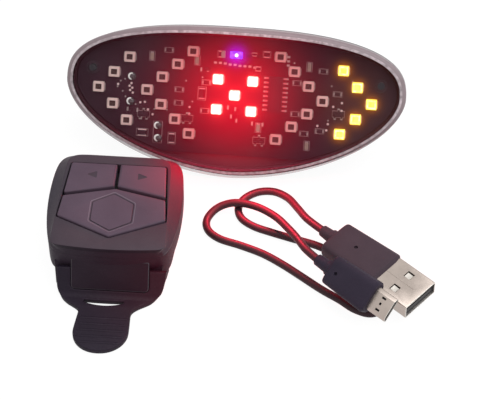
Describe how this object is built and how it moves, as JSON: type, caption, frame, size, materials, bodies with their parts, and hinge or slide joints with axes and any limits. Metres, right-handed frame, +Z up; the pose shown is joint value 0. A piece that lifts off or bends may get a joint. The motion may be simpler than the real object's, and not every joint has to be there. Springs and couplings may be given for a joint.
{
  "type": "bicycle turn signal light",
  "caption": "Rear bicycle lamp with arrow-shaped light rows behind a clear lens, a strap-on handlebar remote with turn keys, and its charging lead.",
  "frame": {"origin": "on the table top, at the middle of the box round the lamp and the remote, the charging lead left out", "axes": "+Z up from the table, +Y away from the viewer, +X to the viewer's right"},
  "size_m": [0.104, 0.103, 0.0387],
  "materials": {
    "clear_lens": "clear moulded polycarbonate",
    "case_black": "fine-textured black ABS",
    "rubber_black": "matt silicone rubber",
    "board_black": "black solder mask",
    "board_green": "green solder mask",
    "steel": "plated steel",
    "led_body": "pale moulded frame",
    "emitter_off": "clear resin over a dark well",
    "emitter_amber": "lit amber",
    "emitter_red": "lit red",
    "emitter_blue": "lit blue",
    "chip_black": "moulded epoxy",
    "tin": "tinned",
    "ceramic": "ceramic",
    "foil": "pouch foil",
    "wire_red": "PVC insulation",
    "key_black": "fine-textured black ABS",
    "mat_grey": "silicone sheet",
    "nickel": "nickel-plated",
    "gold": "gold flash",
    "tongue_dark": "moulded insulator",
    "cord_black": "smooth PVC"
  },
  "bodies": {
    "set": {"lens": "clear_lens", "rear_case": "case_black", "case_seal": "rubber_black", "signal_board": "board_black", "case_screws": "steel", "led_frames": "led_body", "left_emitters": "emitter_off", "right_inner_emitters": "emitter_off", "right_outer_emitters": "emitter_amber", "brake_emitters": "emitter_red", "charge_led": "emitter_blue", "controller_chip": "chip_black", "chip_leads": "tin", "chip_resistors": "chip_black", "chip_capacitors": "ceramic", "transistors": "chip_black", "solder_joints": "tin", "usb_socket": "nickel", "usb_socket_tongue": "chip_black", "cover_pin": "steel", "power_switch": "chip_black", "battery": "foil", "battery_leads": "wire_red", "post_saddle": "case_black", "saddle_pad": "rubber_black", "saddle_screws": "steel", "remote_top": "case_black", "remote_base": "case_black", "key_mat": "mat_grey", "remote_board": "board_green", "remote_switches": "steel", "radio_chip": "chip_black", "coin_cell": "steel", "cell_clip": "nickel", "remote_screws": "steel", "remote_pad": "rubber_black", "strap_root": "rubber_black", "lead_cord": "cord_black", "usb_a_overmould": "cord_black", "usb_a_shell": "nickel", "usb_a_tongue": "tongue_dark", "usb_a_contacts": "gold", "micro_overmould": "cord_black", "micro_shell": "nickel", "micro_tongue": "chip_black"},
    "left_button_body": {"left_button": "key_black"},
    "right_button_body": {"right_button": "key_black"},
    "mode_button_body": {"mode_button": "key_black"},
    "power_button_body": {"power_button": "rubber_black"},
    "port_cover_body": {"port_cover": "rubber_black"},
    "strap_tail_body": {"strap_tail": "rubber_black"}
  },
  "joints": [
    {"name": "left_button_press", "type": "slide", "parent": "set", "child": "left_button_body", "axis": [0, 0, -1], "range_m": [0, 0.0008], "stiffness_N_per_m": 600},
    {"name": "right_button_press", "type": "slide", "parent": "set", "child": "right_button_body", "axis": [0, 0, -1], "range_m": [0, 0.0008], "stiffness_N_per_m": 600},
    {"name": "mode_button_press", "type": "slide", "parent": "set", "child": "mode_button_body", "axis": [0, 0, -1], "range_m": [0, 0.0008], "stiffness_N_per_m": 600},
    {"name": "power_button_press", "type": "slide", "parent": "set", "child": "power_button_body", "axis": [-0.0683, -0.7366, 0.6728], "range_m": [0, 0.0006], "stiffness_N_per_m": 600},
    {"name": "port_cover_swing", "type": "hinge", "parent": "set", "child": "port_cover_body", "pos_m": [0.0317, 0.02807, 0.00811], "axis": [-0.9957, 0.0924, 0], "range_deg": [0, 110], "stiffness_Nm_per_rad": 0.004},
    {"name": "strap_tail_swing", "type": "hinge", "parent": "set", "child": "strap_tail_body", "pos_m": [-0.03271, -0.03285, 0.0025], "axis": [0.9973, -0.0732, 0], "range_deg": [-60, 85], "stiffness_Nm_per_rad": 0.02}
  ]
}
